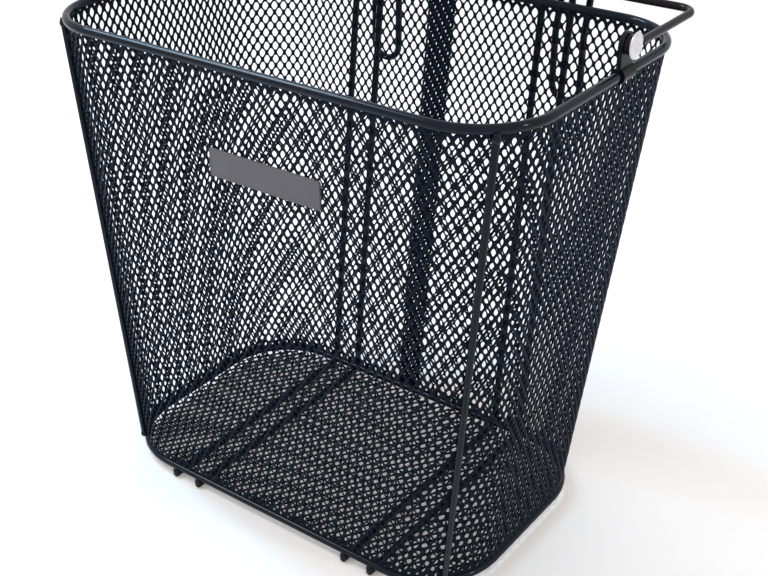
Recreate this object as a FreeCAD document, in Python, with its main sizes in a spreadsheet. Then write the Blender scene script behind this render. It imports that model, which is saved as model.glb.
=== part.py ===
import FreeCAD, Part
import Sketcher
import math
import os
import re

# Wire basket that hangs in front of a bicycle handlebar, in millimetres.
# +Z is up, +Y points back to the handlebar, +X to the basket's own left-to-right width.
# The origin is on the surface that the basket stands on, in the middle of its outer box.
# A rim ring and a bottom ring hold one wrapped mesh wall and a mesh floor. Two bent hook
# wires run under the floor, up the back and over the bar, and a bail handle swings on
# two brackets that are clamped on the rim.

SIZES = [
    ("rim_width", 355.0, "rim ring, across, on the wire's centre line"),
    ("rim_depth", 224.0, "rim ring, front to back, on the centre line"),
    ("rim_corner", 48.5, "rim ring, corner radius on the centre line"),
    ("rim_height", 332.0, "centre line of the rim above the ground"),
    ("rim_wire", 6.0, "rim ring, wire diameter"),
    ("base_width", 304.0, "bottom ring, across, on the centre line"),
    ("base_depth", 185.0, "bottom ring, front to back, on the centre line"),
    ("base_corner", 53.5, "bottom ring, corner radius on the centre line"),
    ("base_forward", 16.0, "how far the bottom ring's middle lies ahead of the rim's"),
    ("base_wire", 5.0, "bottom ring, wire diameter"),
    ("mesh_sheet", 0.8, "expanded mesh, sheet thickness"),
    ("weld_gap", 0.2, "clearance left where two wires or a wire and a sheet are welded"),
    ("corner_wire", 4.5, "front corner wires, diameter"),
    ("hook_wire", 5.0, "hook wires, diameter"),
    ("hook_centre", 78.2, "middle of each hook pair from the basket's middle"),
    ("hook_pair", 22.0, "centre distance of the two runs of one hook wire"),
    ("hook_seat", 23.0, "clear width of the hook over the bar"),
    ("hook_throat", 15.3, "clear width below the seat, at the rim"),
    ("hook_rise", 8.0, "centre of the bar seat above the rim's centre line"),
    ("hook_pinch", 34.0, "length over which the seat narrows to the throat"),
    ("hook_drop", 78.0, "lowest point of the hook's loop below the rim's centre line"),
    ("hook_toe", 1.5, "how far the front ends stand out past the bottom ring"),
    ("hook_bend", 40.0, "radius of the shallow bends in the hook wires"),
    ("bracket_strip", 1.5, "handle bracket, strip thickness"),
    ("bracket_width", 15.0, "handle bracket, strip width"),
    ("pivot_rise", 17.4, "handle pivot above the rim's centre line"),
    ("pivot_back", 17.0, "handle pivot behind the rim's middle"),
    ("rivet_shank", 5.0, "pivot rivet, shank diameter"),
    ("rivet_head", 16.0, "pivot rivet, head diameter"),
    ("rivet_head_thick", 1.6, "pivot rivet, head thickness"),
    ("rivet_tail", 8.5, "pivot rivet, diameter of the closed tail"),
    ("rivet_tail_thick", 1.4, "pivot rivet, thickness of the closed tail"),
    ("washer_size", 11.0, "friction washer, diameter"),
    ("washer_thick", 0.8, "friction washer, thickness"),
    ("pivot_gap", 0.1, "side clearance between the stacked pivot pieces"),
    ("pivot_fit", 0.06, "radial clearance on the rivet shank"),
    ("bail_wire", 5.0, "bail, wire diameter"),
    ("bail_reach", 84.0, "pivot to the middle of the bail's crossbar"),
    ("bail_bend", 11.0, "bail, corner radius on the centre line"),
    ("bail_eye", 12.0, "bail, diameter of the flattened eye"),
    ("bail_eye_thick", 3.0, "bail, thickness of the flattened eye"),
    ("grip_size", 17.0, "grip, outer diameter"),
    ("grip_length", 108.0, "grip, length"),
    ("grip_fit", 0.15, "radial clearance of the grip on the bail"),
    ("plate_width", 86.0, "name plate, width"),
    ("plate_tall", 18.5, "name plate, height"),
    ("plate_thick", 1.6, "name plate, thickness"),
    ("plate_corner", 1.5, "name plate, corner radius"),
    ("plate_side", 14.7, "name plate's middle, beside the basket's middle"),
    ("plate_below", 62.0, "name plate's middle below the rim's centre line"),
    ("stud_size", 3.0, "name plate, diameter of its two fixing studs"),
    ("stud_inset", 12.0, "name plate, studs in from each end"),
    ("stud_fit", 0.3, "radial clearance of a stud in the mesh"),
    ("clip_fit", 0.05, "radial clearance of a stud in the backing strip"),
    ("clip_tall", 9.0, "backing strip, height"),
    ("clip_thick", 1.2, "backing strip, thickness"),
]

doc = FreeCAD.newDocument("handlebar_basket")
sheet = doc.addObject("Spreadsheet::Sheet", "Sizes")
for row, (alias, value, meaning) in enumerate(SIZES, start=1):
    sheet.set(f"A{row}", meaning)
    sheet.set(f"B{row}", str(value))
    sheet.setAlias(f"B{row}", alias)
doc.recompute()


def size(alias):
    """A driving size, read back from the sheet."""
    return float(sheet.get(alias))


def bound(formula):
    """A formula in size names, written as an expression on the sheet."""
    names = "|".join(alias for alias, _, _ in SIZES)
    return re.sub(rf"\b({names})\b", r"Sizes.\1", formula)


# Places that several pieces share, as formulas in size names. They are measured from the
# middle of the rim ring, and every finished piece is then moved back by FRAME_SHIFT.
FRAME_SHIFT = "-(weld_gap + hook_seat + 2 * hook_wire) / 2"
BASE_HEIGHT = "(hook_wire + weld_gap + base_wire / 2)"
WALL_FOOT = f"({BASE_HEIGHT} + base_wire / 2 + weld_gap)"
WALL_TOP = "(rim_height - rim_wire / 2 - weld_gap)"
SHEET_HALF = "(mesh_sheet / 2 + weld_gap)"
PIVOT_HEIGHT = "(rim_height + pivot_rise)"
EAR_FACE = "(rim_width / 2 + bracket_strip)"
EYE_FACE = f"({EAR_FACE} + 2 * pivot_gap + washer_thick)"
HEAD_FACE = f"({EYE_FACE} + bail_eye_thick + pivot_gap)"
TAIL_FACE = "(rim_width / 2 - bracket_strip - pivot_gap)"
TURNED = {
    "X": FreeCAD.Rotation(FreeCAD.Vector(0, 1, 0), 90),
    "Y": FreeCAD.Rotation(FreeCAD.Vector(1, 0, 0), -90),
    "Z": FreeCAD.Rotation(),
}
finished = []


def place(piece, along_x="0", along_y="0", along_z="0"):
    """Bind the place of a piece to formulas."""
    for axis, formula in (("x", along_x), ("y", along_y), ("z", along_z)):
        piece.setExpression(f"Placement.Base.{axis}", bound(formula))


def finish(piece, node, along_y=FRAME_SHIFT, along_z="0"):
    """Give a sub-part its node name and its place in the frame."""
    piece.Label = node
    place(piece, "0", along_y, along_z)
    finished.append(piece)


def block(name, sides, centre):
    """A box with bound sides about a bound centre."""
    box = doc.addObject("Part::Box", name)
    for prop, side in zip(("Length", "Width", "Height"), sides):
        box.setExpression(prop, bound(side))
    place(box, *(f"({middle}) - ({side}) / 2" for middle, side in zip(centre, sides)))
    return box


def rod(name, axis, radius, length, centre):
    """A cylinder along one axis with a bound size about a bound centre."""
    cylinder = doc.addObject("Part::Cylinder", name)
    cylinder.Placement = FreeCAD.Placement(FreeCAD.Vector(), TURNED[axis])
    cylinder.setExpression("Radius", bound(radius))
    cylinder.setExpression("Height", bound(length))
    starts = [f"({middle}) - ({length}) / 2" if way == axis else middle
              for way, middle in zip("XYZ", centre)]
    place(cylinder, *starts)
    return cylinder


def joined(name, pieces):
    """One solid from overlapping pieces."""
    whole = doc.addObject("Part::MultiFuse", name)
    whole.Shapes = pieces
    return whole


def cut(name, base, tools):
    """A base with every tool taken out of it."""
    result = doc.addObject("Part::Cut", name)
    result.Base = base
    result.Tool = tools[0] if len(tools) == 1 else joined(f"{name}_tools", tools)
    return result


def origin_plane(body, role):
    """One of a body's own origin planes."""
    return next(part for part in body.Origin.OriginFeatures if part.Role == role)


def sketch_on(body, name, role, along_x="0", along_y="0", along_z="0"):
    """An empty sketch on one of a body's planes, moved off it by bound offsets."""
    sketch = body.newObject("Sketcher::SketchObject", name)
    sketch.AttachmentSupport = (origin_plane(body, role), [""])
    sketch.MapMode = "FlatFace"
    for axis, formula in (("x", along_x), ("y", along_y), ("z", along_z)):
        sketch.setExpression(f"AttachmentOffset.Base.{axis}", bound(formula))
    return sketch


def dimension(sketch, kind, picks, start, formula):
    """A driving dimension of a sketch, bound to a formula."""
    index = sketch.addConstraint(Sketcher.Constraint(kind, *picks, start))
    sketch.setExpression(f"Constraints[{index}]", bound(formula))


def draw_outline(sketch, ring, grow="0"):
    """A rounded rectangle about the sketch's origin: a ring's centre line, grown by a formula."""
    width, depth, corner = (size(f"{ring}_{part}") for part in ("width", "depth", "corner"))
    across, along = width / 2 - corner, depth / 2 - corner
    lines, arcs = [], []
    for turn in range(4):
        spin = FreeCAD.Rotation(FreeCAD.Vector(0, 0, 1), 90 * turn)
        half_run, half_gap = (across, depth / 2) if turn % 2 == 0 else (along, width / 2)
        start = spin.multVec(FreeCAD.Vector(-half_run, -half_gap, 0))
        end = spin.multVec(FreeCAD.Vector(half_run, -half_gap, 0))
        centre = spin.multVec(FreeCAD.Vector(half_run, corner - half_gap, 0))
        circle = Part.Circle(centre, FreeCAD.Vector(0, 0, 1), corner)
        first = math.radians(90 * turn - 90)
        lines.append(sketch.addGeometry(Part.LineSegment(start, end)))
        arcs.append(sketch.addGeometry(Part.ArcOfCircle(circle, first, first + math.pi / 2)))
    for turn in range(4):
        way = "Horizontal" if turn % 2 == 0 else "Vertical"
        after = lines[(turn + 1) % 4]
        sketch.addConstraint(Sketcher.Constraint(way, lines[turn]))
        sketch.addConstraint(Sketcher.Constraint("Tangent", lines[turn], 2, arcs[turn], 1))
        sketch.addConstraint(Sketcher.Constraint("Tangent", arcs[turn], 2, after, 1))
    for turn in range(1, 4):
        sketch.addConstraint(Sketcher.Constraint("Equal", arcs[0], arcs[turn]))
    sketch.addConstraint(Sketcher.Constraint("Symmetric", arcs[0], 3, arcs[2], 3, -1, 1))
    dimension(sketch, "DistanceX", (lines[3], 1, lines[1], 1), width,
              f"{ring}_width + 2 * ({grow})")
    dimension(sketch, "DistanceY", (lines[0], 1, lines[2], 1), depth,
              f"{ring}_depth + 2 * ({grow})")
    dimension(sketch, "Radius", (arcs[0],), corner, f"{ring}_corner + ({grow})")


def draw_circle(sketch, diameter):
    """A circle about the sketch's origin."""
    middle = FreeCAD.Vector(0, 0, 0)
    axis = FreeCAD.Vector(0, 0, 1)
    circle = sketch.addGeometry(Part.Circle(middle, axis, size(diameter) / 2))
    sketch.addConstraint(Sketcher.Constraint("Coincident", circle, 3, -1, 1))
    dimension(sketch, "Diameter", (circle,), size(diameter), diameter)


def make_ring(node, ring, height, forward):
    """A closed wire ring: a round section run along a rounded rectangle."""
    body = doc.addObject("PartDesign::Body", f"{node}_body")
    path = sketch_on(body, f"{node}_path", "XY_Plane")
    draw_outline(path, ring)
    section = sketch_on(body, f"{node}_section", "YZ_Plane", f"-{ring}_depth / 2", "0",
                        f"{ring}_corner - {ring}_width / 2")
    draw_circle(section, f"{ring}_wire")
    pipe = body.newObject("PartDesign::AdditivePipe", f"{node}_pipe")
    pipe.Profile = section
    pipe.Spine = path
    finish(body, node, f"{FRAME_SHIFT} - {forward}", height)


def make_loft(body, name, kind, sections):
    """A straight-sided loft between two sketches."""
    loft = body.newObject(f"PartDesign::{kind}", name)
    loft.Profile = sections[0]
    loft.Sections = [sections[1]]
    loft.Ruled = True
    return loft


def plate_frame(piece, shift="0"):
    """Put a piece of the name plate on the front wall, in line with the wall's lean."""
    lean = "(rim_depth / 2 - base_forward - base_depth / 2)"
    span = f"({WALL_TOP} - {WALL_FOOT})"
    below = f"({WALL_TOP} - rim_height + plate_below)"
    piece.Placement = FreeCAD.Placement(FreeCAD.Vector(),
                                        FreeCAD.Rotation(FreeCAD.Vector(1, 0, 0), 1))
    piece.setExpression("Placement.Rotation.Angle", bound(f"atan({lean} / {span})"))
    place(piece, "plate_side", f"{shift} - rim_depth / 2 + {lean} * {below} / {span}",
          "rim_height - plate_below")


def stud_rods(name, diameter, length, start):
    """Two rods across the wall at the name plate's studs."""
    reach = "(plate_width / 2 - stud_inset)"
    return [rod(f"{name}_{side:+d}".replace("+", "p").replace("-", "n"), "Y", diameter, length,
                (f"{side} * {reach}", f"{start} + ({length}) / 2", "0"))
            for side in (1, -1)]


def make_wall():
    """The mesh wall: one thin sheet between the rings, narrower at the foot, with stud holes."""
    body = doc.addObject("PartDesign::Body", "wall_body")
    for name, kind, grow in (("outer", "AdditiveLoft", "mesh_sheet / 2"),
                             ("inner", "SubtractiveLoft", "-mesh_sheet / 2")):
        foot = sketch_on(body, f"{name}_foot", "XY_Plane", "0", "-base_forward", WALL_FOOT)
        draw_outline(foot, "base", grow)
        top = sketch_on(body, f"{name}_top", "XY_Plane", "0", "0", WALL_TOP)
        draw_outline(top, "rim", grow)
        make_loft(body, f"{name}_loft", kind, (foot, top))
    holes = joined("stud_holes", stud_rods("stud_hole", "stud_size / 2 + stud_fit",
                                           "6 * mesh_sheet", "-3 * mesh_sheet"))
    plate_frame(holes)
    finish(cut("wall_cut", body, [holes]), "wall_mesh")


def make_floor():
    """The mesh floor: a thin sheet inside the bottom ring, on the hook wires."""
    body = doc.addObject("PartDesign::Body", "floor_body")
    outline = sketch_on(body, "floor_outline", "XY_Plane")
    draw_outline(outline, "base", "-(base_wire / 2 + weld_gap)")
    pad = body.newObject("PartDesign::Pad", "floor_pad")
    pad.Profile = outline
    pad.setExpression("Length", bound("mesh_sheet"))
    finish(body, "floor_mesh", f"{FRAME_SHIFT} - base_forward", "hook_wire + weld_gap")


def make_corner_wire(node, side):
    """A straight wire up the middle of one front corner, outside the mesh."""
    stand_off = f"({SHEET_HALF} + corner_wire / 2)"
    body = doc.addObject("PartDesign::Body", f"{node}_body")
    sections = []
    for end, ring, forward, height in (("foot", "base", "base_forward", WALL_FOOT),
                                       ("top", "rim", "0", WALL_TOP)):
        inward = f"{ring}_corner * (1 - sqrt(0.5)) - {stand_off} * sqrt(0.5)"
        section = sketch_on(body, f"{node}_{end}", "XY_Plane",
                            f"{side} * ({ring}_width / 2 - ({inward}))",
                            f"-{forward} - {ring}_depth / 2 + {inward}", height)
        draw_circle(section, "corner_wire")
        sections.append(section)
    make_loft(body, f"{node}_loft", "AdditiveLoft", sections)
    finish(body, node)


def make_bracket(node, side):
    """A strip folded round the rim, its two legs pressed together above it as an ear."""
    across = f"{side} * rim_width / 2"
    bore = "rim_wire / 2 + weld_gap"
    collar_size = f"{bore} + bracket_strip"
    ear_foot = f"(rim_height + {bore} + bracket_strip / 2)"
    pivot = (across, "pivot_back", PIVOT_HEIGHT)
    ear = block(f"{node}_ear", ("2 * bracket_strip", "bracket_width", f"{PIVOT_HEIGHT} - {ear_foot}"),
                (across, "pivot_back", f"({PIVOT_HEIGHT} + {ear_foot}) / 2"))
    crown = rod(f"{node}_crown", "X", "bracket_width / 2", "2 * bracket_strip", pivot)
    collar = rod(f"{node}_collar", "Y", collar_size, "bracket_width",
                 (across, "pivot_back", "rim_height"))
    rim_bore = rod(f"{node}_bore", "Y", bore, "2 * bracket_width",
                   (across, "pivot_back", "rim_height"))
    mouth = block(f"{node}_mouth", ("mesh_sheet + 4 * weld_gap", "2 * bracket_width", collar_size),
                  (across, "pivot_back", f"rim_height - ({collar_size}) / 2"))
    hole = rod(f"{node}_hole", "X", "rivet_shank / 2 + pivot_fit", "4 * bracket_strip", pivot)
    folded = joined(f"{node}_folded", [ear, crown, collar])
    finish(cut(f"{node}_cut", folded, [rim_bore, mouth, hole]), node)


def stack_disc(name, side, radius, start, thick):
    """A disc on the pivot axis, from a face at a distance from the middle outwards."""
    centre = (f"{side} * ({start} + ({thick}) / 2)", "pivot_back", PIVOT_HEIGHT)
    return rod(name, "X", radius, thick, centre)


def make_washer(node, side):
    """A thin washer between the ear and the bail's eye, whose grip holds the bail."""
    face = f"({EAR_FACE} + pivot_gap)"
    disc = stack_disc(f"{node}_disc", side, "washer_size / 2", face, "washer_thick")
    hole = stack_disc(f"{node}_hole", side, "rivet_shank / 2 + pivot_fit", EAR_FACE,
                      "washer_thick + 2 * pivot_gap")
    finish(cut(f"{node}_cut", disc, [hole]), node)


def make_rivet(node, side):
    """The pivot rivet: a wide head outside, a shank through the stack, a closed tail inside."""
    head = stack_disc(f"{node}_head", side, "rivet_head / 2", HEAD_FACE, "rivet_head_thick")
    shank = stack_disc(f"{node}_shank", side, "rivet_shank / 2",
                       f"({TAIL_FACE} - rivet_tail_thick / 2)",
                       f"{HEAD_FACE} - {TAIL_FACE} + (rivet_tail_thick + rivet_head_thick) / 2")
    tail = stack_disc(f"{node}_tail", side, "rivet_tail / 2",
                      f"({TAIL_FACE} - rivet_tail_thick)", "rivet_tail_thick")
    finish(joined(f"{node}_whole", [head, shank, tail]), node)


def make_grip():
    """The hand grip: a sleeve on the middle of the bail's crossbar."""
    centre = ("0", "pivot_back + bail_reach", PIVOT_HEIGHT)
    sleeve = rod("grip_sleeve", "X", "grip_size / 2", "grip_length", centre)
    bore = rod("grip_bore", "X", "bail_wire / 2 + grip_fit", "grip_length + 2", centre)
    finish(cut("grip_cut", sleeve, [bore]), "handle_grip")


def make_name_plate():
    """The blank plate outside the mesh with two studs, and the strip that holds it inside."""
    tail = f"{SHEET_HALF} + clip_thick + stud_size / 4"
    face = block("plate_face", ("plate_width", "plate_thick", "plate_tall"),
                 ("0", f"-({SHEET_HALF} + plate_thick / 2)", "0"))
    rounded = doc.addObject("Part::Fillet", "plate_rounded")
    rounded.Base = face
    doc.recompute()
    radius = size("plate_corner")
    upright = [number for number, edge in enumerate(face.Shape.Edges, start=1)
               if abs(edge.tangentAt(edge.FirstParameter).y) > 0.9]
    rounded.Edges = [(number, radius, radius) for number in upright]
    studs = stud_rods("stud", "stud_size / 2", f"{tail} + {SHEET_HALF} + plate_thick / 2",
                      f"-({SHEET_HALF} + plate_thick / 2)")
    plate = joined("plate_whole", [rounded] + studs)
    plate_frame(plate, FRAME_SHIFT)
    plate.Label = "name_plate"
    finished.append(plate)
    strip = block("clip_strip", ("plate_width - stud_inset", "clip_thick", "clip_tall"),
                  ("0", f"{SHEET_HALF} + clip_thick / 2", "0"))
    holes = stud_rods("clip_hole", "stud_size / 2 + clip_fit", "3 * clip_thick",
                      f"{SHEET_HALF} - clip_thick")
    clip = cut("clip_cut", strip, holes)
    plate_frame(clip, FRAME_SHIFT)
    clip.Label = "plate_backing"
    finished.append(clip)


def bent_path(points, radii):
    """Straight runs through the points with a tangent arc of the given radius at each corner."""
    edges = []
    here = points[0]
    for before, corner, after, radius in zip(points, points[1:], points[2:], radii):
        back = (before - corner).normalize()
        ahead = (after - corner).normalize()
        half_turn = (math.pi - back.getAngle(ahead)) / 2
        inset = radius * math.tan(half_turn)
        first, last = corner + back * inset, corner + ahead * inset
        to_middle = radius * (1 / math.cos(half_turn) - 1)
        middle = corner + (back + ahead).normalize() * to_middle
        edges.append(Part.LineSegment(here, first).toShape())
        edges.append(Part.Arc(first, middle, last).toShape())
        here = last
    edges.append(Part.LineSegment(here, points[-1]).toShape())
    return edges


def wire_along(edges, diameter):
    """A round wire along a smooth chain of edges."""
    path = Part.Wire(edges)
    start = edges[0].valueAt(edges[0].FirstParameter)
    heading = edges[0].tangentAt(edges[0].FirstParameter)
    section = Part.Wire(Part.Circle(start, heading, diameter / 2).toShape())
    solid = path.makePipeShell([section], True, False)
    expected = math.pi * diameter ** 2 / 4 * path.Length
    print(f"wire volume over section times length: {solid.Volume / expected:.4f}")
    return solid


def hook_run(across):
    """Half of a hook wire, from its front end to the top of the loop behind the bar."""
    wire = size("hook_wire")
    gap = size("weld_gap")
    base_reach = (size("base_wire") + wire) / 2 + gap
    rim_reach = (size("rim_wire") + wire) / 2 + gap
    base_middle = FreeCAD.Vector(across, size("base_depth") / 2 - size("base_forward"),
                                 wire + gap + size("base_wire") / 2)
    rim_middle = FreeCAD.Vector(across, size("rim_depth") / 2, size("rim_height"))
    slope = (rim_middle - base_middle).normalize()
    off_wall = FreeCAD.Vector(0, slope.z, -slope.y)
    low = base_middle + off_wall * base_reach
    high = rim_middle + off_wall * rim_reach
    lean = (high - low).normalize()
    foot = low + lean * ((wire / 2 - low.z) / lean.z)
    upright = rim_middle.y + rim_reach
    knee = low + lean * ((upright - low.y) / lean.y)
    front = (-size("base_forward") - size("base_depth") / 2
             - size("base_wire") / 2 - size("hook_toe"))
    toe = FreeCAD.Vector(across, front, wire / 2)
    seat = (size("hook_seat") + wire) / 2
    shoulder = FreeCAD.Vector(across, upright, size("rim_height") + size("hook_rise"))
    seat_middle = shoulder + FreeCAD.Vector(0, seat, 0)
    pinch = math.atan((size("hook_seat") - size("hook_throat")) / size("hook_pinch"))
    crest = seat_middle + FreeCAD.Vector(0, 0, seat)
    release = seat_middle + FreeCAD.Vector(0, math.cos(pinch), -math.sin(pinch)) * seat
    leg = upright + size("hook_throat") + wire
    throat = FreeCAD.Vector(across, leg, release.z - (release.y - leg) / math.tan(pinch))
    loop_top = size("rim_height") - size("hook_drop") + wire / 2 + size("hook_pair") / 2
    tip = FreeCAD.Vector(across, leg, loop_top)
    bend = size("hook_bend")
    up = bent_path([toe, foot, knee, shoulder], [base_reach, bend])
    over = Part.Arc(shoulder, crest, release).toShape()
    down = bent_path([release, throat, tip], [bend])
    return up + [over] + down, tip


def make_hook_wire(node, side):
    """One long wire: two equal runs that a loop joins behind the bar."""
    inner, outer = (side * (size("hook_centre") + step * size("hook_pair") / 2)
                    for step in (-1, 1))
    first, first_tip = hook_run(inner)
    second, second_tip = hook_run(outer)
    low = (first_tip + second_tip) / 2 - FreeCAD.Vector(0, 0, size("hook_pair") / 2)
    loop = Part.Arc(first_tip, low, second_tip).toShape()
    hook = doc.addObject("Part::Feature", f"{node}_wire")
    hook.Shape = wire_along(first + [loop] + second[::-1], size("hook_wire"))
    finish(hook, node)


def make_bail():
    """The bail handle: a bent wire with a flattened, pierced eye at each end."""
    eye_face = (size("rim_width") / 2 + size("bracket_strip") + 2 * size("pivot_gap")
                + size("washer_thick"))
    arm = eye_face + size("bail_wire") / 2
    pivot_y = size("pivot_back")
    pivot_z = size("rim_height") + size("pivot_rise")
    start_y = pivot_y + size("rivet_head") / 2 + 4 * size("pivot_gap")
    cross_y = pivot_y + size("bail_reach")
    corners = [FreeCAD.Vector(arm, start_y, pivot_z), FreeCAD.Vector(arm, cross_y, pivot_z),
               FreeCAD.Vector(-arm, cross_y, pivot_z), FreeCAD.Vector(-arm, start_y, pivot_z)]
    shape = wire_along(bent_path(corners, [size("bail_bend")] * 2), size("bail_wire"))
    thick = size("bail_eye_thick")
    hole = size("rivet_shank") / 2 + size("pivot_fit")
    for side in (1, -1):
        outward = FreeCAD.Vector(side, 0, 0)
        pivot = FreeCAD.Vector(side * eye_face, pivot_y, pivot_z)
        eye = Part.makeCylinder(size("bail_eye") / 2, thick, pivot, outward)
        corner = FreeCAD.Vector(min(side * eye_face, side * (eye_face + thick)), pivot_y,
                                pivot_z - size("bail_wire") / 2)
        overlap = size("bail_wire") / 2
        tongue = Part.makeBox(thick, start_y - pivot_y + overlap, size("bail_wire"), corner)
        bore = Part.makeCylinder(hole, 3 * thick, pivot - outward * thick, outward)
        shape = shape.fuse(eye).fuse(tongue).cut(bore)
    bail = doc.addObject("Part::Feature", "bail_wire_shape")
    bail.Shape = shape.removeSplitter()
    finish(bail, "handle_bail")


make_ring("rim_ring", "rim", "rim_height", "0")
make_ring("bottom_ring", "base", BASE_HEIGHT, "base_forward")
make_wall()
make_floor()
make_bail()
make_grip()
make_name_plate()
for hand, side in (("right", 1), ("left", -1)):
    make_corner_wire(f"front_corner_wire_{hand}", side)
    make_hook_wire(f"hook_wire_{hand}", side)
    make_bracket(f"handle_bracket_{hand}", side)
    make_washer(f"pivot_washer_{hand}", side)
    make_rivet(f"pivot_rivet_{hand}", side)
doc.recompute()

for item in doc.Objects:
    if "Invalid" in item.State or "Error" in item.State:
        raise RuntimeError(f"{item.Label} did not build: {item.State}")
for piece in finished:
    if piece.Shape.isNull() or not piece.Shape.isValid() or len(piece.Shape.Solids) != 1:
        raise RuntimeError(f"{piece.Label} is not one valid solid")

os.makedirs("parts", exist_ok=True)
for piece in finished:
    piece.Shape.exportStep(f"parts/{piece.Label}.step")
print(f"{len(finished)} sub-parts written")
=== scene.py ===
import bmesh
import bpy
import math
from mathutils import Matrix, Vector


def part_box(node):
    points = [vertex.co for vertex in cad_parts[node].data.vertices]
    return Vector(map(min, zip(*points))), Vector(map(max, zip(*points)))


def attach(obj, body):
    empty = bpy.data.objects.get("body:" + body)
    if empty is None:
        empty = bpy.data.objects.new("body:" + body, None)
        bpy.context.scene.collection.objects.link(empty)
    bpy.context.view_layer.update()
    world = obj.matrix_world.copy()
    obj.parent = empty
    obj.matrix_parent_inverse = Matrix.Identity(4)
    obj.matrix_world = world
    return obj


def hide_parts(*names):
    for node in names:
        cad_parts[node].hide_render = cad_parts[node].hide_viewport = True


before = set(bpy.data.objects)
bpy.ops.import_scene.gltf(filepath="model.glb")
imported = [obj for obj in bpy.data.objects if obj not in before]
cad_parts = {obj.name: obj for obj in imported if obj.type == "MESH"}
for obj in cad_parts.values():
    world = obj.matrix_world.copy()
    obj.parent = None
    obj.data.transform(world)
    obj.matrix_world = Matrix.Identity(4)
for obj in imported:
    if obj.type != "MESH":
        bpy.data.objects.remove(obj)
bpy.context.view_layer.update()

# Wire basket for a bicycle handlebar. Sizes are metres. +Y is the handlebar side.
MM = 0.001


def middle_and_size(node):
    """The middle of a frame node's box, and its three sides."""
    low, high = (Vector(corner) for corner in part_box(node))
    return (low + high) / 2, high - low


RIM_MIDDLE, RIM_SIZE = middle_and_size("rim_ring")
BASE_MIDDLE, BASE_SIZE = middle_and_size("bottom_ring")
FLOOR_MIDDLE, FLOOR_SIZE = middle_and_size("floor_mesh")
RIM_WIRE = RIM_SIZE.z
BASE_WIRE = BASE_SIZE.z
RIM_CORNER = 48.5 * MM
BASE_CORNER = 53.5 * MM

# ---------------------------------------------------------------- finishes


def new_material(name):
    """A node material with its Principled shader, and a helper that adds a node."""
    material = bpy.data.materials.new(name)
    material.use_nodes = True
    nodes, links = material.node_tree.nodes, material.node_tree.links
    shader = nodes["Principled BSDF"]

    def add(kind, **settings):
        node = nodes.new(kind)
        for key, value in settings.items():
            if hasattr(node, key):
                setattr(node, key, value)
            else:
                node.inputs[key.replace("_", " ")].default_value = value
        return node

    return material, shader, add, links


def powder_coat(name, colour, roughness, shine, coat, peel=0.25):
    """Dipped black paint: a faint orange peel, lighter and rougher patches at random, a glossy
    skin.
    """
    material, shader, add, links = new_material(name)
    place = add("ShaderNodeTexCoord")
    skin = add("ShaderNodeTexNoise", Scale=900.0, Detail=2.0)
    cloud = add("ShaderNodeTexNoise", Scale=26.0, Detail=4.0)
    links.new(place.outputs["Object"], skin.inputs["Vector"])
    links.new(place.outputs["Object"], cloud.inputs["Vector"])
    tint = add("ShaderNodeMix", data_type="RGBA")
    tint.inputs["A"].default_value = (*colour, 1)
    tint.inputs["B"].default_value = (*(part * 1.7 for part in colour), 1)
    links.new(cloud.outputs["Fac"], tint.inputs["Factor"])
    links.new(tint.outputs["Result"], shader.inputs["Base Color"])
    matt = add("ShaderNodeMapRange")
    matt.inputs["To Min"].default_value = roughness * 0.75
    matt.inputs["To Max"].default_value = roughness * 1.3
    links.new(cloud.outputs["Fac"], matt.inputs["Value"])
    links.new(matt.outputs["Result"], shader.inputs["Roughness"])
    bump = add("ShaderNodeBump", Strength=peel, Distance=0.05 * MM)
    links.new(skin.outputs["Fac"], bump.inputs["Height"])
    links.new(bump.outputs["Normal"], shader.inputs["Normal"])
    shader.inputs["Specular IOR Level"].default_value = shine
    shader.inputs["Coat Weight"].default_value = coat
    shader.inputs["Coat Roughness"].default_value = 0.04
    return material


def zinc_plate(name):
    """Bright zinc with fine turning marks and dull patches."""
    material, shader, add, links = new_material(name)
    place = add("ShaderNodeTexCoord")
    cloud = add("ShaderNodeTexNoise", Scale=260.0, Detail=5.0)
    links.new(place.outputs["Object"], cloud.inputs["Vector"])
    ramp = add("ShaderNodeValToRGB")
    ramp.color_ramp.elements[0].color = (0.62, 0.60, 0.64, 1)
    ramp.color_ramp.elements[1].color = (0.90, 0.89, 0.92, 1)
    links.new(cloud.outputs["Fac"], ramp.inputs["Fac"])
    links.new(ramp.outputs["Color"], shader.inputs["Base Color"])
    matt = add("ShaderNodeMapRange")
    matt.inputs["To Min"].default_value = 0.22
    matt.inputs["To Max"].default_value = 0.42
    links.new(cloud.outputs["Fac"], matt.inputs["Value"])
    links.new(matt.outputs["Result"], shader.inputs["Roughness"])
    bump = add("ShaderNodeBump", Strength=0.3, Distance=0.05 * MM)
    links.new(cloud.outputs["Fac"], bump.inputs["Height"])
    links.new(bump.outputs["Normal"], shader.inputs["Normal"])
    shader.inputs["Metallic"].default_value = 0.35
    return material


def moulded(name, colour, roughness, grain_scale, grain):
    """Moulded plastic with a fine spark-eroded grain."""
    material, shader, add, links = new_material(name)
    place = add("ShaderNodeTexCoord")
    speck = add("ShaderNodeTexNoise", Scale=grain_scale, Detail=3.0)
    cloud = add("ShaderNodeTexNoise", Scale=40.0, Detail=3.0)
    links.new(place.outputs["Object"], speck.inputs["Vector"])
    links.new(place.outputs["Object"], cloud.inputs["Vector"])
    tint = add("ShaderNodeMix", data_type="RGBA")
    tint.inputs["A"].default_value = (*(part * 0.85 for part in colour), 1)
    tint.inputs["B"].default_value = (*(part * 1.2 for part in colour), 1)
    links.new(cloud.outputs["Fac"], tint.inputs["Factor"])
    links.new(tint.outputs["Result"], shader.inputs["Base Color"])
    shader.inputs["Roughness"].default_value = roughness
    bump = add("ShaderNodeBump", Strength=grain, Distance=0.1 * MM)
    links.new(speck.outputs["Fac"], bump.inputs["Height"])
    links.new(bump.outputs["Normal"], shader.inputs["Normal"])
    return material


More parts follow.
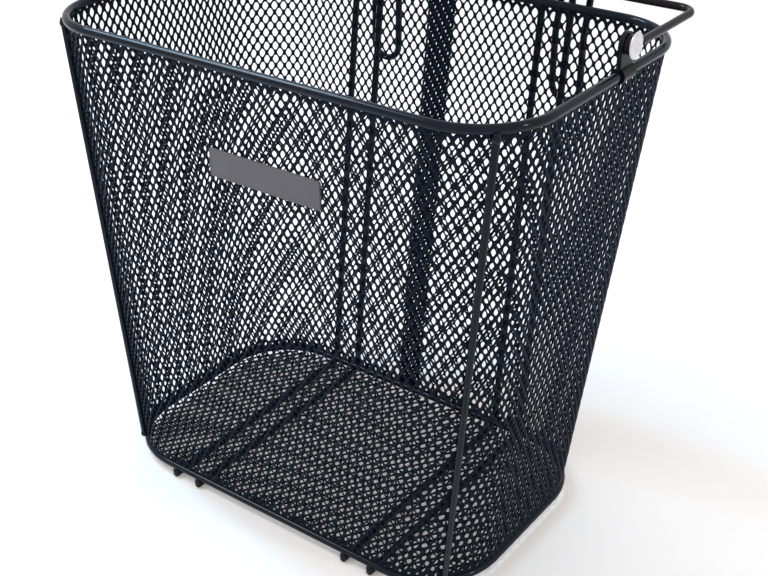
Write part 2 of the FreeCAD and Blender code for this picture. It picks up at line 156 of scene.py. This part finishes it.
WIRE_PAINT = powder_coat("wire_paint", (0.0025, 0.005, 0.010), 0.13, 0.12, 0.2)
MESH_PAINT = powder_coat("mesh_paint", (0.0025, 0.0055, 0.012), 0.45, 0.09, 0.0)
BAIL_PAINT = powder_coat("bail_paint", (0.006, 0.003, 0.004), 0.2, 0.14, 0.1)
STRIP_PAINT = powder_coat("strip_paint", (0.003, 0.003, 0.004), 0.3, 0.14, 0.1)
ZINC = zinc_plate("zinc_plate")
PLATE_GREY = moulded("plate_grey", (0.105, 0.095, 0.105), 0.38, 1600.0, 0.15)
GRIP_BLACK = moulded("grip_black", (0.018, 0.018, 0.02), 0.55, 1200.0, 0.4)

# ---------------------------------------------------------------- helpers


def piece_from(mesh_work, name, material, body="basket", stands_for=(), smooth=True):
    """Turn a bmesh into a finished piece that rides on a body."""
    mesh = bpy.data.meshes.new(name)
    for face in mesh_work.faces:
        face.smooth = smooth
    mesh_work.to_mesh(mesh)
    mesh_work.free()
    mesh.materials.append(material)
    piece = bpy.data.objects.new(name, mesh)
    bpy.context.scene.collection.objects.link(piece)
    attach(piece, body)
    if stands_for:
        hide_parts(*stands_for)
    return piece


def verts_in(geometry):
    return [item for item in geometry if isinstance(item, bmesh.types.BMVert)]


# ---------------------------------------------------------------- expanded mesh
# One cell is a diamond whose hole is a soft oval. The strands are twisted a little out of
# the sheet, as the slit and pulled metal leaves them.
CELL_WIDE = 7.2 * MM
CELL_TALL = 10.2 * MM
STRAND = 1.95 * MM
SHEET = 0.7 * MM
TWIST = 0.28 * MM
# Power of the oval that rounds a hole's corners, and how nearly the oval fills the diamond.
HOLE_ROUNDNESS = 1.5
HOLE_FILL = 0.97
# The sheet's ends lap at the back: where the lap starts, its width, how far the outer layer
# stands off, how far out of step its cells are, and how open the holes stay in it.
SEAM_SIDE = -21.0 * MM
SEAM_LAP = 22.0 * MM
LAP_STEP = 1.0 * MM
LAP_SLIP = 0.5
LAP_HOLE = 0.84
# Holes in a narrow band at the sheet's cut edges are nearly closed.
EDGE_BAND = 6.0 * MM
EDGE_HOLE = 0.5
# A point this near the strands' crossings belongs to no hole.
HOLE_REACH = 0.97
SIDES = ("back_right", "right", "front", "left", "back_left")


def mesh_cell():
    """Two neighbouring cells, the smallest patch that repeats along both ways of the sheet."""
    cell = bmesh.new()
    bmesh.ops.create_circle(cell, cap_ends=True, segments=4, radius=1)
    bmesh.ops.scale(cell, vec=(CELL_WIDE / 2, CELL_TALL / 2, 1), verts=cell.verts)
    hole = cell.faces[:]
    bmesh.ops.inset_individual(cell, faces=hole, thickness=STRAND / 2, use_even_offset=True)
    wide = max(vert.co.x for vert in hole[0].verts)
    tall = max(vert.co.y for vert in hole[0].verts)
    edge = list(hole[0].edges)
    bmesh.ops.delete(cell, geom=hole, context="FACES_ONLY")
    fresh = bmesh.ops.subdivide_edges(cell, edges=edge, cuts=2)["geom_inner"]
    rim = set(verts_in(fresh)) | {vert for side in edge if side.is_valid for vert in side.verts}
    for vert in rim:
        across, along = abs(vert.co.x / wide), abs(vert.co.y / tall)
        reach = (across ** HOLE_ROUNDNESS + along ** HOLE_ROUNDNESS) ** (1 / HOLE_ROUNDNESS)
        vert.co *= HOLE_FILL / reach
        vert.co.z = TWIST * vert.co.x / wide
    bmesh.ops.triangulate(cell, faces=cell.faces)
    twin = bmesh.ops.duplicate(cell, geom=cell.verts[:] + cell.edges[:] + cell.faces[:])
    step = Vector((CELL_WIDE / 2, CELL_TALL / 2, 0))
    bmesh.ops.translate(cell, vec=step, verts=verts_in(twin["geom"]))
    return cell


def repeat(sheet, step, count):
    """Copies of everything so far, a step apart."""
    pattern = sheet.verts[:] + sheet.edges[:] + sheet.faces[:]
    for number in range(1, count):
        copy = bmesh.ops.duplicate(sheet, geom=pattern)["geom"]
        bmesh.ops.translate(sheet, vec=step * number, verts=verts_in(copy))


def trim(sheet, point, outward):
    """Cut off everything beyond a plane."""
    geometry = sheet.verts[:] + sheet.edges[:] + sheet.faces[:]
    bmesh.ops.bisect_plane(sheet, geom=geometry, plane_co=point, plane_no=outward,
                           clear_outer=True)


def expanded_sheet(width, height):
    """A flat rectangle of expanded mesh with one corner at the origin."""
    sheet = mesh_cell()
    repeat(sheet, Vector((CELL_WIDE, 0, 0)), math.ceil(width / CELL_WIDE) + 1)
    repeat(sheet, Vector((0, CELL_TALL, 0)), math.ceil(height / CELL_TALL) + 1)
    bmesh.ops.remove_doubles(sheet, verts=sheet.verts, dist=0.02 * MM)
    for point, outward in (((0, 0, 0), (-1, 0, 0)), ((0, 0, 0), (0, -1, 0)),
                           ((width, 0, 0), (1, 0, 0)), ((0, height, 0), (0, 1, 0))):
        trim(sheet, point, outward)
    return sheet


def wall_outline(rise):
    """Half width, half depth, corner radius and middle of the wall at a share of its height."""
    low = (BASE_SIZE.x - BASE_WIRE, BASE_SIZE.y - BASE_WIRE, BASE_CORNER * 2, BASE_MIDDLE.y)
    high = (RIM_SIZE.x - RIM_WIRE, RIM_SIZE.y - RIM_WIRE, RIM_CORNER * 2, RIM_MIDDLE.y)
    width, depth, corner, middle = (a + (b - a) * rise for a, b in zip(low, high))
    return width / 2, depth / 2, corner / 2, middle


def round_the_wall(share, rise):
    """A place on the wall and its outward direction, at a share of the way round from the seam."""
    width, depth, corner, middle = wall_outline(rise)
    across, along = width - corner, depth - corner
    bend = corner * math.pi / 2
    around = 4 * (across + along + bend)
    way = (share % 1) * around + SEAM_SIDE
    runs = ((across, bend, along), (along, bend, across), (across, bend, along),
            (along, bend, across))
    turn = 0
    while way > runs[turn][0] + bend + runs[turn][2]:
        way -= runs[turn][0] + bend + runs[turn][2]
        turn = (turn + 1) % 4
    before, _, after = runs[turn]
    reach, side = (depth, width) if turn % 2 == 0 else (width, depth)
    if way < before:
        place, outward = Vector((way, reach, 0)), Vector((0, 1, 0))
    elif way < before + bend:
        angle = math.pi / 2 - (way - before) / corner
        outward = Vector((math.cos(angle), math.sin(angle), 0))
        place = Vector((side - corner, reach - corner, 0)) + outward * corner
    else:
        place = Vector((side, reach - corner - (way - before - bend), 0))
        outward = Vector((1, 0, 0))
    spin = Matrix.Rotation(-math.pi / 2 * turn, 3, "Z")
    height = BASE_MIDDLE.z + (RIM_MIDDLE.z - BASE_MIDDLE.z) * rise
    return spin @ place + Vector((0, middle, height)), spin @ outward


def close_up(sheet, share_at):
    """Draw the edges of the mesh holes in, each by the share that its place asks for."""
    half_wide, half_tall = CELL_WIDE / 2, CELL_TALL / 2
    for vert in sheet.verts:
        across, along = vert.co.x / half_wide, vert.co.y / half_tall
        first, second = round((across + along) / 2), round((across - along) / 2)
        middle = Vector(((first + second) * half_wide, (first - second) * half_tall, vert.co.z))
        away = vert.co - middle
        if abs(away.x) / half_wide + abs(away.y) / half_tall < HOLE_REACH:
            vert.co = middle + away * share_at(middle)


def wall_mesh():
    """The wrapped sheet: bent round the rings with its ends lapped at the back, in five panels."""
    top = wall_outline(1)
    around = 4 * (top[0] + top[1] - 2 * top[2]) + 2 * math.pi * top[2]
    around = (round(around / CELL_WIDE) + LAP_SLIP) * CELL_WIDE
    height = RIM_MIDDLE.z - BASE_MIDDLE.z
    sheet = expanded_sheet(around + SEAM_LAP, height)

    def hole_share(place):
        if not EDGE_BAND < place.y < height - EDGE_BAND:
            return EDGE_HOLE
        return 1 if SEAM_LAP < place.x < around else LAP_HOLE

    close_up(sheet, hole_share)
    bounds = panel_bounds(around)
    panels = {name: sheet.copy() for name in SIDES[:-1]}
    panels[SIDES[-1]] = sheet
    for name, panel in panels.items():
        low, high = bounds[name]
        outside = [face for face in panel.faces
                   if not low <= face.calc_center_median().x < high]
        bmesh.ops.delete(panel, geom=outside, context="FACES")
        thicken(panel)
        for vert in panel.verts:
            way, up, off = vert.co
            lap = min(max((way - around) / (CELL_WIDE * 2) + 1, 0), 1)
            place, outward = round_the_wall(way / around, up / height)
            vert.co = place + outward * (off + lap * LAP_STEP)
        bmesh.ops.recalc_face_normals(panel, faces=panel.faces)
        piece_from(panel, f"wall_{name}", MESH_PAINT, "basket", ("wall_mesh",))


def panel_bounds(around):
    """Where each panel of the wrapped sheet starts and ends, in the middles of the corners."""
    width, depth, corner, _ = wall_outline(1)
    bend = corner * math.pi / 2
    across, along = 2 * (width - corner), 2 * (depth - corner)
    first = across / 2 + bend / 2 - SEAM_SIDE
    stops = [0, first, first + along + bend, first + along + across + 2 * bend,
             first + 2 * along + across + 3 * bend, around + 2 * SEAM_LAP]
    return {name: (stops[number] - (number == 0), stops[number + 1])
            for number, name in enumerate(SIDES)}


def thicken(sheet):
    """Give a flat sheet its thickness, half to each side."""
    bmesh.ops.translate(sheet, vec=(0, 0, -SHEET / 2), verts=sheet.verts)
    upper = bmesh.ops.extrude_face_region(sheet, geom=sheet.faces[:], use_keep_orig=True)
    bmesh.ops.translate(sheet, vec=(0, 0, SHEET), verts=verts_in(upper["geom"]))


def floor_mesh():
    """The flat mesh floor, trimmed to the rounded outline inside the bottom ring."""
    sheet = expanded_sheet(FLOOR_SIZE.x, FLOOR_SIZE.y)
    bmesh.ops.translate(sheet, vec=(-FLOOR_SIZE.x / 2, -FLOOR_SIZE.y / 2, 0), verts=sheet.verts)
    corner = BASE_CORNER - BASE_WIRE / 2
    for quarter in range(4):
        for step in range(1, 8):
            angle = math.pi / 2 * (quarter + step / 8)
            outward = Vector((math.cos(angle), math.sin(angle), 0))
            middle = Vector((math.copysign(FLOOR_SIZE.x / 2 - corner, outward.x),
                             math.copysign(FLOOR_SIZE.y / 2 - corner, outward.y), 0))
            trim(sheet, middle + outward * corner, outward)
    thicken(sheet)
    bmesh.ops.recalc_face_normals(sheet, faces=sheet.faces)
    bmesh.ops.translate(sheet, vec=FLOOR_MIDDLE, verts=sheet.verts)
    piece_from(sheet, "floor_panel", MESH_PAINT, "basket", ("floor_mesh",))


# ---------------------------------------------------------------- bent wires
def next_ring(work, ring):
    """Extrude a ring of edges and return the new vertices and edges."""
    made = bmesh.ops.extrude_edge_only(work, edges=ring)["geom"]
    fresh = verts_in(made)
    known = set(fresh)
    edges = [item for item in made if isinstance(item, bmesh.types.BMEdge)
             and all(vert in known for vert in item.verts)]
    return fresh, edges


WIRE_SIDES = 12
BEND_STEP = 0.2
# Two shrinking steps that round off a wire's end: share of its radius onward, share kept.
END_STEPS = ((0.35, 0.86), (0.25, 0.6))


def round_end(work, ring, onward, middle, radius):
    """Close a wire with a softly rounded, painted end."""
    for forward, narrower in END_STEPS:
        verts, ring = next_ring(work, ring)
        middle = middle + onward * radius * forward
        bmesh.ops.translate(work, vec=onward * radius * forward, verts=verts)
        to_middle = Matrix.Translation(middle)
        shrink = to_middle @ Matrix.Scale(narrower, 4) @ Matrix.Translation(-middle)
        bmesh.ops.transform(work, matrix=shrink, verts=verts)
    bmesh.ops.contextual_create(work, geom=ring)


def bent_wire(corners, bends, thick):
    """A round wire through corner points, with a bend radius at each inner corner."""
    work = bmesh.new()
    onward = (corners[1] - corners[0]).normalized()
    turn = onward.to_track_quat("Z", "Y").to_matrix().to_4x4()
    bmesh.ops.create_circle(work, segments=WIRE_SIDES, radius=thick / 2,
                            matrix=Matrix.Translation(corners[0]) @ turn)
    ring = work.edges[:]
    middle = corners[0]
    round_end(work, ring, -onward, middle, thick / 2)
    for corner, after, bend in zip(corners[1:], corners[2:] + [None], bends + [0]):
        if after is None:
            verts, ring = next_ring(work, ring)
            bmesh.ops.translate(work, vec=corner - middle, verts=verts)
            round_end(work, ring, onward, corner, thick / 2)
            break
        leaving = (after - corner).normalized()
        angle = onward.angle(leaving)
        stop = corner - onward * bend * math.tan(angle / 2)
        verts, ring = next_ring(work, ring)
        bmesh.ops.translate(work, vec=stop - middle, verts=verts)
        axis = onward.cross(leaving).normalized()
        centre = stop + axis.cross(onward) * bend
        steps = max(2, math.ceil(angle / BEND_STEP))
        swing = Matrix.Rotation(angle / steps, 3, axis)
        for _ in range(steps):
            verts, ring = next_ring(work, ring)
            bmesh.ops.rotate(work, cent=centre, matrix=swing, verts=verts)
        middle = centre + Matrix.Rotation(angle, 3, axis) @ (stop - centre)
        onward = leaving
    bmesh.ops.recalc_face_normals(work, faces=work.faces)
    return work


def weld_bead(work, place, across, along, tall):
    """A small mound of weld, painted over."""
    bead = bmesh.ops.create_icosphere(work, subdivisions=2, radius=1)["verts"]
    bmesh.ops.scale(work, vec=(across, along, tall), verts=bead)
    bmesh.ops.translate(work, vec=place, verts=bead)


HOOK_WIRE = 5.0 * MM
HOOK_SIDE = 78.2 * MM
HOOK_HALF_PAIR = 11.0 * MM
# From the toe under the floor, up the back, over the bar and down to the loop: (y, z, bend).
HOOK_RUN = ((-127.6, 2.5, 0), (64.56, 2.5, 5.2), (101.1, 336, 40), (101.1, 354, 14),
            (132.6, 354, 14), (121.4, 304.5, 40), (121.4, 256.5, 11))


# Welds at the toe, at the back of the bottom ring and at the rim: place, then half sizes.
HOOK_WELDS = (((-127.0, 4.7), (2.8, 2.6, 2.8)), ((62.2, 6.2), (2.4, 2.2, 3.2)),
              ((98.1, 331), (2.2, 1.8, 4.5)))


def hook_wires():
    """One long wire on each side: two runs up the back that end in a loop behind it."""
    for side, name in ((1, "right"), (-1, "left")):
        inner, outer = ((HOOK_SIDE + half * HOOK_HALF_PAIR) * side for half in (-1, 1))
        climb = [(Vector((0, y, z)) * MM, bend * MM) for y, z, bend in HOOK_RUN]
        corners = [point + Vector((inner, 0, 0)) for point, _ in climb]
        corners += [point + Vector((outer, 0, 0)) for point, _ in reversed(climb)]
        bends = [bend for _, bend in climb] + [bend for _, bend in reversed(climb)]
        work = bent_wire(corners, bends[1:-1], HOOK_WIRE)
        for run in (inner, outer):
            for (back, up), half_sizes in HOOK_WELDS:
                weld_bead(work, Vector((run, back * MM, up * MM)),
                          *(half * MM for half in half_sizes))
        piece_from(work, f"hook_{name}", WIRE_PAINT, "basket",
                   (f"hook_wire_{name}",))


CORNER_WIRE = 4.5 * MM
CORNER_OFFSET = 2.6 * MM
# Shares of the wall's height where the wires end, inside the two rings.
CORNER_ENDS = (0.004, 0.994)
CORNER_WELD = Vector((2.8, 2.8, 3.4)) * MM
CORNER_WELD_DROP = Vector((0, 0, 2.6)) * MM


def corner_wires():
    """Straight wires up the two front corners, welded to both rings."""
    for side, name in ((1, "right"), (-1, "left")):
        ends = []
        for rise in CORNER_ENDS:
            width, depth, corner, middle = wall_outline(rise)
            reach = (corner + CORNER_OFFSET) * math.sqrt(0.5)
            height = BASE_MIDDLE.z + (RIM_MIDDLE.z - BASE_MIDDLE.z) * rise
            ends.append(Vector((side * (width - corner + reach),
                                middle - (depth - corner) - reach, height)))
        work = bent_wire(ends, [], CORNER_WIRE)
        weld_bead(work, ends[0], *CORNER_WELD)
        weld_bead(work, ends[1] - CORNER_WELD_DROP, *CORNER_WELD)
        piece_from(work, f"corner_wire_{name}", WIRE_PAINT, "basket",
                   (f"front_corner_wire_{name}",))


# ---------------------------------------------------------------- turned and moulded pieces
def turned(profile, steps=40):
    """Spin a profile of (along, radius) points round the x axis."""
    work = bmesh.new()
    points = [work.verts.new((along * MM, 0, radius * MM)) for along, radius in profile]
    edges = [work.edges.new(pair) for pair in zip(points, points[1:])]
    if profile[0][1] > 0:
        edges.append(work.edges.new((points[-1], points[0])))
    bmesh.ops.spin(work, geom=points + edges, cent=(0, 0, 0), axis=(1, 0, 0), dvec=(0, 0, 0),
                   angle=math.tau, steps=steps, use_merge=True)
    bmesh.ops.remove_doubles(work, verts=work.verts, dist=0.001 * MM)
    bmesh.ops.recalc_face_normals(work, faces=work.faces)
    return work


# From the dimple in the wide head, over its rim, along the shank to the closed tail.
RIVET_PROFILE = ((183.6, 0), (183.65, 1.0), (183.95, 1.6), (184.65, 2.3), (184.78, 2.9),
                 (184.8, 3.8), (184.7, 5.2), (184.5, 6.8), (184.25, 7.6), (183.8, 8.0),
                 (183.35, 8.0), (183.12, 7.7), (183.1, 7.2), (183.1, 2.5), (175.9, 2.5),
                 (175.9, 3.9), (175.7, 4.25), (175.1, 4.2), (174.65, 3.5), (174.5, 2.2),
                 (174.5, 0))


def pivot_rivets():
    """A wide zinc rivet through each bracket ear and bail eye."""
    for side, name in ((1, "right"), (-1, "left")):
        middle, _ = middle_and_size(f"pivot_rivet_{name}")
        work = turned(RIVET_PROFILE)
        if side < 0:
            bmesh.ops.rotate(work, cent=(0, 0, 0), matrix=Matrix.Rotation(math.pi, 3, "Z"),
                             verts=work.verts)
        bmesh.ops.translate(work, vec=(0, middle.y, middle.z), verts=work.verts)
        piece_from(work, f"rivet_{name}", ZINC, "handle",
                   (f"pivot_rivet_{name}",))


GRIP_RIDGES = 15
GRIP_PITCH = 6.4


def grip_sleeve():
    """A soft sleeve on the crossbar with rounded ends and shallow grooves."""
    middle, span = middle_and_size("handle_grip")
    end, thick, bore = span.x / MM / 2, span.z / MM / 2, 2.65
    profile = [(-end, bore), (-end, thick - 1.6), (-end + 0.5, thick - 0.6), (-end + 1.5, thick)]
    for ridge in range(GRIP_RIDGES):
        groove = (ridge - (GRIP_RIDGES - 1) / 2) * GRIP_PITCH
        profile += [(groove - 1.3, thick), (groove - 0.7, thick - 0.55),
                    (groove + 0.7, thick - 0.55), (groove + 1.3, thick)]
    profile += [(end - 1.5, thick), (end - 0.5, thick - 0.6), (end, thick - 1.6), (end, bore)]
    work = turned(profile, 36)
    bmesh.ops.translate(work, vec=middle, verts=work.verts)
    piece_from(work, "grip_sleeve", GRIP_BLACK, "handle", ("handle_grip",))


PLATE = Vector((86.0, 1.6, 18.5)) * MM
PLATE_LEAN = math.radians(0.62)
STUD_SIDE = 31.0 * MM


def name_plate():
    """The blank plate on the front, with a low raised border and two studs behind it."""
    middle, span = middle_and_size("name_plate")
    work = bmesh.new()
    bmesh.ops.create_cube(work, size=1)
    bmesh.ops.scale(work, vec=PLATE, verts=work.verts)
    corners = [edge for edge in work.edges if abs(edge.verts[0].co.y - edge.verts[1].co.y) > MM]
    bmesh.ops.bevel(work, geom=corners, affect="EDGES", offset=1.5 * MM, segments=4,
                    profile=0.5, material=-1)
    face = min(work.faces, key=lambda item: item.calc_center_median().y)
    bmesh.ops.bevel(work, geom=list(face.edges), affect="EDGES", offset=0.45 * MM, segments=3,
                    profile=0.5, material=-1)
    face = min(work.faces, key=lambda item: item.calc_center_median().y)
    bmesh.ops.inset_individual(work, faces=[face], thickness=0.8 * MM, depth=0)
    bmesh.ops.inset_individual(work, faces=[face], thickness=0.25 * MM, depth=-0.2 * MM)
    for side in (-1, 1):
        stud = (Matrix.Translation((side * STUD_SIDE, (span.y - PLATE.y) / 2, 0))
                @ Matrix.Rotation(math.pi / 2, 4, "X"))
        bmesh.ops.create_cone(work, cap_ends=True, segments=16, radius1=1.5 * MM,
                              radius2=1.4 * MM, depth=span.y - 0.6 * MM, matrix=stud)
    bmesh.ops.rotate(work, cent=(0, 0, 0), matrix=Matrix.Rotation(PLATE_LEAN, 3, "X"),
                     verts=work.verts)
    front = middle.y - span.y / 2 + PLATE.y / 2 + 0.1 * MM
    bmesh.ops.translate(work, vec=(middle.x, front, middle.z), verts=work.verts)
    bmesh.ops.recalc_face_normals(work, faces=work.faces)
    piece_from(work, "blank_plate", PLATE_GREY, "basket", ("name_plate",),
               smooth=False)


# ---------------------------------------------------------------- finishes on the frame's nodes


def paint_nodes():
    for name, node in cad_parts.items():
        if name.startswith("pivot_washer"):
            material = GRIP_BLACK
        elif name == "plate_backing":
            material = PLATE_GREY
        elif name == "handle_bail":
            material = BAIL_PAINT
        elif name.startswith("handle_bracket"):
            material = STRIP_PAINT
        else:
            material = WIRE_PAINT
        for slot in node.material_slots:
            slot.material = material


# ---------------------------------------------------------------- stage, light and camera
CAMERA_AZIMUTH = math.radians(36.24)
CAMERA_ELEVATION = math.radians(29.45)
CAMERA_DISTANCE = 871.7 * MM
CAMERA_LENS = 58.28
CAMERA_AIM = Vector((20.1, 0, -185.9)) * MM


def set_camera():
    """The camera in front of the right corner, looking down on the basket."""
    aim = RIM_MIDDLE + CAMERA_AIM
    level = math.cos(CAMERA_ELEVATION)
    back = Vector((math.sin(CAMERA_AZIMUTH) * level, -math.cos(CAMERA_AZIMUTH) * level,
                   math.sin(CAMERA_ELEVATION)))
    data = bpy.data.cameras.new("camera")
    data.lens = CAMERA_LENS
    data.sensor_width = 36.0
    camera = bpy.data.objects.new("camera", data)
    camera.matrix_world = (Matrix.Translation(aim + back * CAMERA_DISTANCE)
                           @ back.to_track_quat("Z", "Y").to_matrix().to_4x4())
    bpy.context.scene.collection.objects.link(camera)
    bpy.context.scene.camera = camera


def add_lamp(name, place, aim, size, power, colour):
    """A soft rectangular lamp that faces a point."""
    data = bpy.data.lights.new(name, "AREA")
    data.shape = "RECTANGLE"
    data.size, data.size_y = size
    data.energy = power
    data.color = colour
    lamp = bpy.data.objects.new(name, data)
    away = Vector(place) - Vector(aim)
    lamp.matrix_world = (Matrix.Translation(place)
                         @ away.to_track_quat("Z", "Y").to_matrix().to_4x4())
    bpy.context.scene.collection.objects.link(lamp)


FLOOR_HALF_SIDE = 6
# How much brighter the floor looks to the camera: a warm painted glow that lifts and tints its
# shadow, so that it stays warm and pale.
FLOOR_WARM_GLOW = 0.16


def set_floor():
    """A pale floor that stays white to the camera but keeps the basket's shadow, lightened and
    warmed by a painted glow.
    """
    mesh_work = bmesh.new()
    bmesh.ops.create_grid(mesh_work, x_segments=1, y_segments=1, size=FLOOR_HALF_SIDE)
    mesh = bpy.data.meshes.new("studio_floor")
    mesh_work.to_mesh(mesh)
    mesh_work.free()
    floor = bpy.data.objects.new("studio_floor", mesh)
    bpy.context.scene.collection.objects.link(floor)
    material, shader, add, links = new_material("studio_floor")
    shader.inputs["Base Color"].default_value = (0.97, 0.97, 0.97, 1)
    shader.inputs["Roughness"].default_value = 0.9
    shader.inputs["Specular IOR Level"].default_value = 0.0
    # A warm glow painted on the floor for camera rays only: painted light that lightens and tints
    # the basket's shadow.
    shader.inputs["Emission Color"].default_value = (1, 0.86, 0.68, 1)
    path = add("ShaderNodeLightPath")
    glow = add("ShaderNodeMath", operation="MULTIPLY")
    glow.inputs[1].default_value = FLOOR_WARM_GLOW
    links.new(path.outputs["Is Camera Ray"], glow.inputs[0])
    links.new(glow.outputs["Value"], shader.inputs["Emission Strength"])
    mesh.materials.append(material)


def set_light():
    """Soft studio light from the upper left, a cool strip above and a warm one on the right."""
    scene = bpy.context.scene
    scene.view_settings.view_transform = "Standard"
    world = bpy.data.worlds.new("studio")
    world.use_nodes = True
    nodes, links = world.node_tree.nodes, world.node_tree.links
    room = nodes["Background"]
    room.inputs["Color"].default_value = (0.98, 0.97, 1.0, 1)
    room.inputs["Strength"].default_value = 0.8
    white = nodes.new("ShaderNodeBackground")
    path = nodes.new("ShaderNodeLightPath")
    mix = nodes.new("ShaderNodeMixShader")
    links.new(path.outputs["Is Camera Ray"], mix.inputs["Fac"])
    links.new(room.outputs["Background"], mix.inputs[1])
    links.new(white.outputs["Background"], mix.inputs[2])
    white.inputs["Color"].default_value = (1, 1, 1, 1)
    links.new(mix.outputs["Shader"], nodes["World Output"].inputs["Surface"])
    scene.world = world
    middle = (RIM_MIDDLE + BASE_MIDDLE) / 2
    add_lamp("key", middle + Vector((-1.0, -0.5, 1.3)), middle, (0.5, 0.5), 9.0, (0.9, 0.95, 1))
    add_lamp("window", middle + Vector((-0.87, 0.0, 1.14)), middle, (0.12, 0.45), 8.0,
             (0.3, 0.65, 1))
    add_lamp("side", middle + Vector((1.5, 0.1, 0.8)), middle, (0.1, 0.3), 3.0, (1, 0.86, 0.62))


wall_mesh()
floor_mesh()
hook_wires()
corner_wires()
pivot_rivets()
grip_sleeve()
name_plate()
paint_nodes()
set_camera()
set_floor()
set_light()
